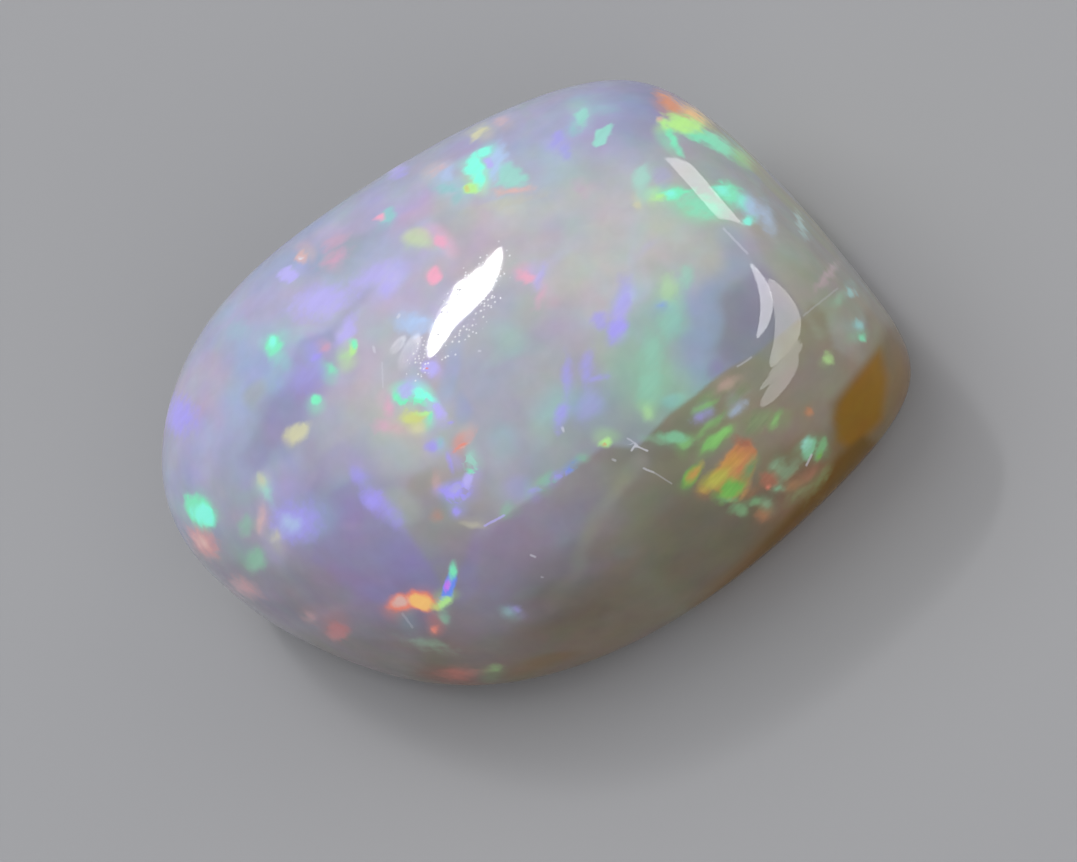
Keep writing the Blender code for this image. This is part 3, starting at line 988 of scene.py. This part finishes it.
def wear_and_glints(places, facing):
    """Raised grains with painted glints in red, dullness in green, fragments in blue, and streaks in alpha.
    """
    streaked = smooth(STREAKED_EDGE - spread(places, STREAKED)) * (facing > IN_VIEW)
    fields = []
    for rows, soft in WEAR_AND_GLINTS:
        best = np.zeros(len(places))
        for row in rows:
            best = np.maximum(best, smooth((WEAR_AND_GLINT_EDGE - spread(places, row)) / soft))
        fields.append(best * (facing > IN_VIEW))
    edge, soft = HIGHLIGHT_CORE_EDGE
    # The painted glints and grains stay out of the core of the long highlight.
    fields[0] *= 1 - smooth((edge - spread(places, HIGHLIGHT_CORE)) / soft)
    return np.column_stack([*fields, streaked])


def nearest_line(places):
    """For each place the number of the nearest fine line, its signed distance and how far along it lies."""
    best = np.full(len(places), np.inf)
    number = np.zeros(len(places), int)
    aside = np.zeros(len(places))
    beyond = np.zeros(len(places))
    for index, (start, end, *_) in enumerate(LINES):
        start = np.array(start, float)
        way = np.array(end, float) - start
        length = np.linalg.norm(way)
        offset = places - start
        along = offset @ way / length
        sideways = (offset[:, 0] * way[1] - offset[:, 1] * way[0]) / length
        past = np.abs(along - length / 2) - length / 2
        away = np.hypot(np.maximum(past, 0.0), sideways)
        wins = away < best
        best[wins] = away[wins]
        number[wins] = index
        aside[wins] = sideways[wins]
        beyond[wins] = past[wins]
    return number, best, aside, beyond


def line_fields(places, facing):
    """Signed distance from the nearest fine line over its half width, how far past its ends, and a mask."""
    number, best, aside, beyond = nearest_line(places)
    widths = np.array([row[2] for row in LINES])[number]
    near = (best < LINE_REACH) & (facing > IN_VIEW)
    return np.column_stack([aside / widths, beyond / widths, near, np.ones(len(places))])


def line_colours(places):
    """Colour of the nearest fine line, with its strength in alpha."""
    number = nearest_line(places)[0]
    colours = np.array([seen(row[4]) for row in LINES])[number]
    return np.column_stack([colours, np.array([row[3] for row in LINES])[number]])


def link(name, data):
    """A new object at the origin, unturned and unscaled."""
    piece = bpy.data.objects.new(name, data)
    bpy.context.scene.collection.objects.link(piece)
    return piece


# Patterns in the stone, in steps per millimetre
CLOUD_STEPS = 0.55
TINT_STEPS = 0.9
FINE_STEPS = 2.6
BREAK_STEPS = 5.0
SHARD_STEPS = 5.5
WOBBLE_STEPS = 9.0
GRAIN_STEPS = 12.0
# Streaks inside flashes: their turn in degrees, steps per millimetre along and across them, and their
# strength, everywhere and more in the streaked patch
STREAK_TURN = 48
STREAK_STEPS = (1.4, 7.0)
STREAK_STRENGTH = 0.14
STREAK_MORE = 0.4
# The ground's least brightness, what coarse and fine clouds add to it, and how far it is tinted
GROUND_LEAST = 0.86
CLOUD_LIGHT = 0.16
FINE_LIGHT = 0.12
TINT_SHARE = 0.35
# How far noise and shards shift the edges of flashes, more shards in the fragments, and each layer's share
EDGE_NOISE = 0.7
EDGE_SHARDS = 0.2
FRAGMENT_SHARDS = 1.2
LAYER_SHARES = (("under", 1.0), ("over", 0.7))
# Raised grains beside the highlight: how far the grain patch decides which cells hold a grain, where in its
# cell a grain begins and is full, how high it stands, and the same for its pale colour, a painted glint of
# the lamp
GRAIN_SHARE = 0.9
GRAIN_EDGE = (0.42, 0.05)
GRAIN_HEIGHT = 0.006 * MM
GLINT_EDGE = (0.46, 0.16)
GLINT_SHARE = 0.7
GLINT_COLOUR = (0.93, 0.93, 0.96, 1.0)
# Roughness that the dull polish adds, the most that a fine line covers and how far its sides waver, and
# how strongly opal bends light
DULL_ROUGHNESS = 0.25
LINE_SHARE = 0.75
LINE_WOBBLE = 1.2
OPAL_IOR = 1.45
# How much of a seen colour the stone's skin needs, since the stage's light is a little under full
LIGHT_LEVEL = 0.80


def clouded(net, mm, ground):
    """The ground made lighter, darker and tinted in places by noise."""
    cloud = net.noise(mm, CLOUD_STEPS, detail=3, warp=0.6)
    fine = net.noise(mm, FINE_STEPS, detail=3, warp=0.4)
    tint = net.noise(mm, TINT_STEPS, output=1)
    ground = net.scaled(ground, GROUND_LEAST + cloud * CLOUD_LIGHT + fine * FINE_LIGHT)
    shift = net.scaled(net.vector("SUBTRACT", tint, (0.5, 0.5, 0.5)), TINT_SHARE)
    return net.vector("ADD", ground, net.vector("MULTIPLY", shift, ground))


def streaks(net, mm):
    """Noise drawn out along one way of the picture."""
    right, up, _ = view_axes()
    turn = math.radians(STREAK_TURN)
    run = net.along(mm, right * math.cos(turn) + up * math.sin(turn)) * STREAK_STEPS[0]
    side = net.along(mm, up * math.cos(turn) - right * math.sin(turn)) * STREAK_STEPS[1]
    return net.noise(net.out(net.node("ShaderNodeCombineXYZ", None, {0: run, 1: side})), 1.0)


def flashed(net, mm, colour, broken, streaked):
    """Both layers of flashes laid over a colour with broken edges, and how much of it they cover."""
    shard = net.cells(mm, SHARD_STEPS)[1]
    break_up = (net.noise(mm, BREAK_STEPS, detail=3) - 0.5) * EDGE_NOISE
    break_up += (shard - 0.5) * (EDGE_SHARDS + broken * FRAGMENT_SHARDS)
    streak = 1.0 + (streaks(net, mm) - 0.5) * (STREAK_STRENGTH + streaked * STREAK_MORE)
    cover = 0.0
    for layer, broken_share in LAYER_SHARES:
        share = net.ease(net.attribute(layer, "Alpha") + break_up * broken_share, 0.0, 1.0)
        colour = net.mix(share, colour, net.scaled(net.attribute(layer), streak))
        cover = net.math("MAXIMUM", share, cover)
    return colour, cover


def fine_lines(net, mm):
    """How much the fine lines cover: full on a line, wavering at its sides and tapered at its ends."""
    aside, beyond, near = net.parts(net.attribute("line"))
    wobble = (net.noise(mm, WOBBLE_STEPS) - 0.5) * LINE_WOBBLE
    thin = net.ease(net.math("ABSOLUTE", aside + wobble), 1.3, 0.5)
    return LINE_SHARE * thin * net.ease(beyond, 1.0, -1.0) * near * net.attribute("line_colour", "Alpha")


def glints_and_grains(net, mm, grain_glint_patch):
    """How much painted glint covers the grains beside the highlight, and how high the grains stand."""
    away, number = net.cells(mm, GRAIN_STEPS)
    held = net.ease(number + grain_glint_patch * GRAIN_SHARE, 1.0, 1.1) * net.ease(grain_glint_patch, 0.0, 0.3)
    return net.ease(away, *GLINT_EDGE) * held * GLINT_SHARE, net.ease(away, *GRAIN_EDGE) * held


def opal_material(finish):
    """Clouded ground, flashes and fine lines under a clear polish with a few raised grains, painted with
    glints.
    """
    net = Net("opal")
    mm = net.scaled(net.out(net.node("ShaderNodeTexCoord"), "Object"), 1 / MM)
    grain_glint_patch, dull, broken = net.parts(net.attribute("wear_and_glints"))
    milk = net.vector("MULTIPLY", net.attribute("ground"), linear(finish.milk))
    colour = clouded(net, mm, milk)
    colour, cover = flashed(net, mm, colour, broken, net.attribute("wear_and_glints", "Alpha"))
    glint, height = glints_and_grains(net, mm, grain_glint_patch)
    # Pale specks on the grains beside the highlight: painted glints of the lamp.
    colour = net.mix(glint, colour, GLINT_COLOUR)
    stroke = fine_lines(net, mm)
    colour = net.mix(stroke, colour, net.attribute("line_colour"))
    glow = net.math("MAXIMUM", cover, stroke) * finish.glow_share
    net.drive("Base Color", net.scaled(colour, (1 - glow) * (1 / LIGHT_LEVEL)))
    net.drive("Emission Color", net.scaled(colour, glow))
    net.drive("Emission Strength", 1.0)
    # The glow is faint and wide, so no light rays are aimed at it
    net.material.cycles.emission_sampling = "NONE"
    net.drive("Roughness", finish.polish + dull * DULL_ROUGHNESS)
    bump = net.node("ShaderNodeBump", None, {"Strength": 1.0, "Distance": GRAIN_HEIGHT, "Height": height})
    net.drive("Normal", net.out(bump, "Normal"))
    net.drive("IOR", OPAL_IOR)
    net.drive("Subsurface Weight", finish.haze_share)
    net.drive("Subsurface Radius", (1.0, 1.0, 1.0))
    net.drive("Subsurface Scale", finish.haze_depth)
    return net.material


class OPAL_OT_stone(bpy.types.Operator):
    """Make the polished stone over its solid"""
    bl_idname = "opal.stone"
    bl_label = "Stone"

    def execute(self, context):
        scene = context.scene
        mesh, points = closed_mesh("opal_stone", stone_surface(scene.opal_form))
        paint(mesh, points)
        mesh.materials.append(opal_material(scene.opal_finish))
        stone = link("opal_stone", mesh)
        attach(stone, "root")
        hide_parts("light_opal")
        return {"FINISHED"}


def standing(axes, place):
    """The matrix of an object at a place, with its own axes along three given ones."""
    matrix = Matrix(axes).transposed().to_4x4()
    matrix.translation = place
    return matrix


def area_light(name, shape, width, height, power):
    """The data of an area light."""
    data = bpy.data.lights.new(name, "AREA")
    data.shape = shape
    data.size = width
    data.size_y = height
    data.energy = power
    return data


def aimed(name, data, place, target, turn):
    """An object that looks from its place at a target, turned about its own line of sight."""
    made = link(name, data)
    away = (Vector(place) - Vector(target)).normalized()
    side = Vector((0.0, 0.0, 1.0)).cross(away).normalized()
    rise = away.cross(side)
    right = side * math.cos(turn) + rise * math.sin(turn)
    up = rise * math.cos(turn) - side * math.sin(turn)
    made.matrix_world = standing((right, up, away), place)
    return made


# The height over the floor that the lights are aimed at
LIT_HEIGHT = 4.0 * MM
# Lights: azimuth from +X and elevation in degrees, distance, width and height in metres, power in watts,
# turn in degrees, shape, colour, and whether it lights the stone and whether the polished skin mirrors it.
# The lamps make the long highlight, and the panes and windows the pale shapes near the ground wall.
LIGHTS = {
    "key": (150, 62, 0.50, 0.40, 0.40, 0.85, 0, "SQUARE", (1.0, 0.99, 0.97), True, False),
    "front fill": (-45, 28, 0.60, 0.50, 0.50, 1.00, 0, "SQUARE", (1.0, 0.98, 0.96), True, False),
    "right fill": (30, 35, 0.60, 0.40, 0.40, 0.30, 0, "SQUARE", (1.0, 0.98, 0.96), True, False),
    "lamp": (138.1, 57.3, 0.30, 0.050, 0.011, 0.060, 43.2, "ELLIPSE", (1.0, 1.0, 1.0), True, True),
    "lamp middle": (133.3, 55.9, 0.30, 0.030, 0.012, 0.040, 36.4, "ELLIPSE", (1.0, 1.0, 1.0), True, True),
    "lamp tip": (129.2, 54.6, 0.30, 0.032, 0.005, 0.018, 18.8, "ELLIPSE", (1.0, 1.0, 1.0), True, True),
    "upper pane": (71, 15, 0.30, 0.056, 0.078, 0.07, -15, "RECTANGLE", (1.0, 0.94, 0.98), False, True),
    "window": (-8.0, 15.0, 0.30, 0.36, 0.090, 0.43, 28.4, "ELLIPSE", (1.0, 0.97, 0.94), False, True),
    "window edge": (2.8, 31.7, 0.324, 0.37, 0.044, 0.36, 12.9, "ELLIPSE", (0.97, 0.97, 1.0), False, True),
}
# Panes that lie on the floor and are only mirrored: place, length, width in metres, power in watts and turn
PANE_HEIGHT = 0.2 * MM
FLOOR_PANES = {
    "near pane": (0.0455, -0.026, 0.060, 0.008, 0.0043, -28),
    "middle pane": (0.0896, -0.0495, 0.120, 0.024, 0.0260, -28),
    "far pane": (0.187, -0.101, 0.240, 0.048, 0.108, -28),
}
AIR_COLOUR = (0.93, 0.96, 1.0, 1.0)
FLOOR_ROUGHNESS = 0.85


class OPAL_OT_stage(bpy.types.Operator):
    """Set out the floor, the lights and the camera"""
    bl_idname = "opal.stage"
    bl_label = "Stage"

    def execute(self, context):
        scene = context.scene
        self.floor(scene.opal_stage)
        self.lights()
        self.panes()
        self.air(scene)
        self.camera(scene)
        return {"FINISHED"}

    def floor(self, stage):
        half = stage.floor_width / 2
        mesh = bpy.data.meshes.new("floor")
        corners = [(-half, -half, 0.0), (half, -half, 0.0), (half, half, 0.0), (-half, half, 0.0)]
        mesh.from_pydata(corners, [], [(0, 1, 2, 3)])
        net = Net("floor")
        net.drive("Base Color", (*linear(stage.floor_colour), 1.0))
        net.drive("Roughness", FLOOR_ROUGHNESS)
        mesh.materials.append(net.material)
        link("floor", mesh)

    def lights(self):
        target = Vector((0.0, 0.0, LIT_HEIGHT))
        for name, row in LIGHTS.items():
            azimuth, elevation, distance, width, height, power, turn, shape, colour, lit, mirrored = row
            data = area_light(name, shape, width, height, power)
            data.color = colour
            way = Vector(aim(np.array(math.radians(azimuth)), np.array(math.radians(elevation))).tolist())
            light = aimed(name, data, target + way * distance, target, math.radians(turn))
            light.visible_camera = False
            light.visible_diffuse = lit
            light.visible_glossy = mirrored

    def panes(self):
        for name, (x, y, length, width, power, turn) in FLOOR_PANES.items():
            data = area_light(name, "ELLIPSE", length, width, power)
            pane = link(name, data)
            turned = Matrix.Rotation(math.radians(turn), 4, "Z") @ Matrix.Rotation(math.pi, 4, "X")
            pane.matrix_world = Matrix.Translation((x, y, PANE_HEIGHT)) @ turned
            pane.visible_camera = False
            pane.visible_diffuse = False

    def air(self, scene):
        world = bpy.data.worlds.new("air")
        world.use_nodes = True
        air = world.node_tree.nodes["Background"]
        air.inputs["Color"].default_value = AIR_COLOUR
        air.inputs["Strength"].default_value = scene.opal_stage.air
        scene.world = world

    def camera(self, scene):
        right, up, back = view_axes()
        data = bpy.data.cameras.new("view")
        data.sensor_width = SENSOR
        data.lens = SENSOR * VIEW_DISTANCE / VIEW_WIDTH
        data.clip_start = 1 * MM
        data.clip_end = 10
        camera = link("view", data)
        camera.matrix_world = standing((right, up, back), Vector(VIEW_MIDDLE) + back * VIEW_DISTANCE)
        scene.camera = camera
        scene.view_settings.view_transform = "Standard"


class OPAL_PT_panel(bpy.types.Panel):
    """Lists the pieces and the stage"""
    bl_idname = "OPAL_PT_panel"
    bl_label = "Light opal"
    bl_space_type = "VIEW_3D"
    bl_region_type = "UI"
    bl_category = "Opal"

    def draw(self, context):
        layout = self.layout
        for kind in OPERATORS:
            layout.operator(kind.bl_idname, text=kind.bl_label)
        for group in (context.scene.opal_form, context.scene.opal_finish, context.scene.opal_stage):
            box = layout.box()
            for name in group.__annotations__:
                box.prop(group, name)


GROUPS = {"opal_form": OpalForm, "opal_finish": OpalFinish, "opal_stage": OpalStage}
OPERATORS = (OPAL_OT_stone, OPAL_OT_stage)


def register():
    for kind in (*GROUPS.values(), *OPERATORS, OPAL_PT_panel):
        bpy.utils.register_class(kind)
    for name, kind in GROUPS.items():
        setattr(bpy.types.Scene, name, PointerProperty(type=kind))


def unregister():
    for name in GROUPS:
        delattr(bpy.types.Scene, name)
    for kind in reversed((*GROUPS.values(), *OPERATORS, OPAL_PT_panel)):
        bpy.utils.unregister_class(kind)


def main():
    register()
    bpy.ops.opal.stone()
    bpy.ops.opal.stage()


if __name__ == "__main__":
    main()
